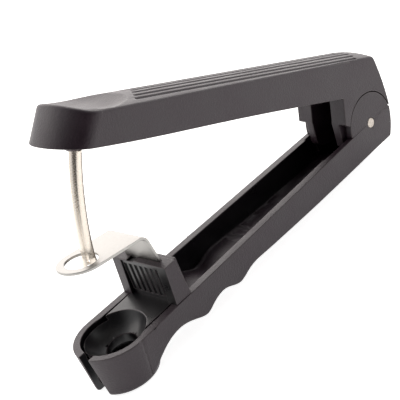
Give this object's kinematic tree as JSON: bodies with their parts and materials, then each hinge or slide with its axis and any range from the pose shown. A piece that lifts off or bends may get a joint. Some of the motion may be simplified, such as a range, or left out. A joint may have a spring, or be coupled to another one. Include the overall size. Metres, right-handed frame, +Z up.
{
  "type": "cherry pitter with lever",
  "caption": "Hand-held fruit pitter: a sprung lever drives a curved steel punch through a ring plate into a slotted cup at the end of the channel-shaped handle.",
  "frame": {"origin": "centre of the underside of the whole tool's box, lever open", "axes": "+X runs along the handle from the cup to the hinge, +Y across it, +Z up out of the cup's mouth"},
  "size_m": [0.1697, 0.0312, 0.1016],
  "materials": {
    "black_plastic": "matte, spark-eroded grain",
    "stainless": "satin"
  },
  "bodies": {
    "handle": {"lower_body": "black_plastic", "cup_insert": "black_plastic", "stripper_plate": "stainless", "hinge_pin": "stainless", "return_spring": "stainless"},
    "lever": {"lever": "black_plastic", "punch": "stainless"}
  },
  "joints": [
    {"name": "lever_hinge", "type": "hinge", "parent": "handle", "child": "lever", "pos_m": [0.07117, 0, 0.017], "axis": [0, -1, 0], "range_deg": [0, 15.5], "stiffness_Nm_per_rad": 0.12, "springref_deg": -25.78, "deforming": ["return_spring"]}
  ]
}
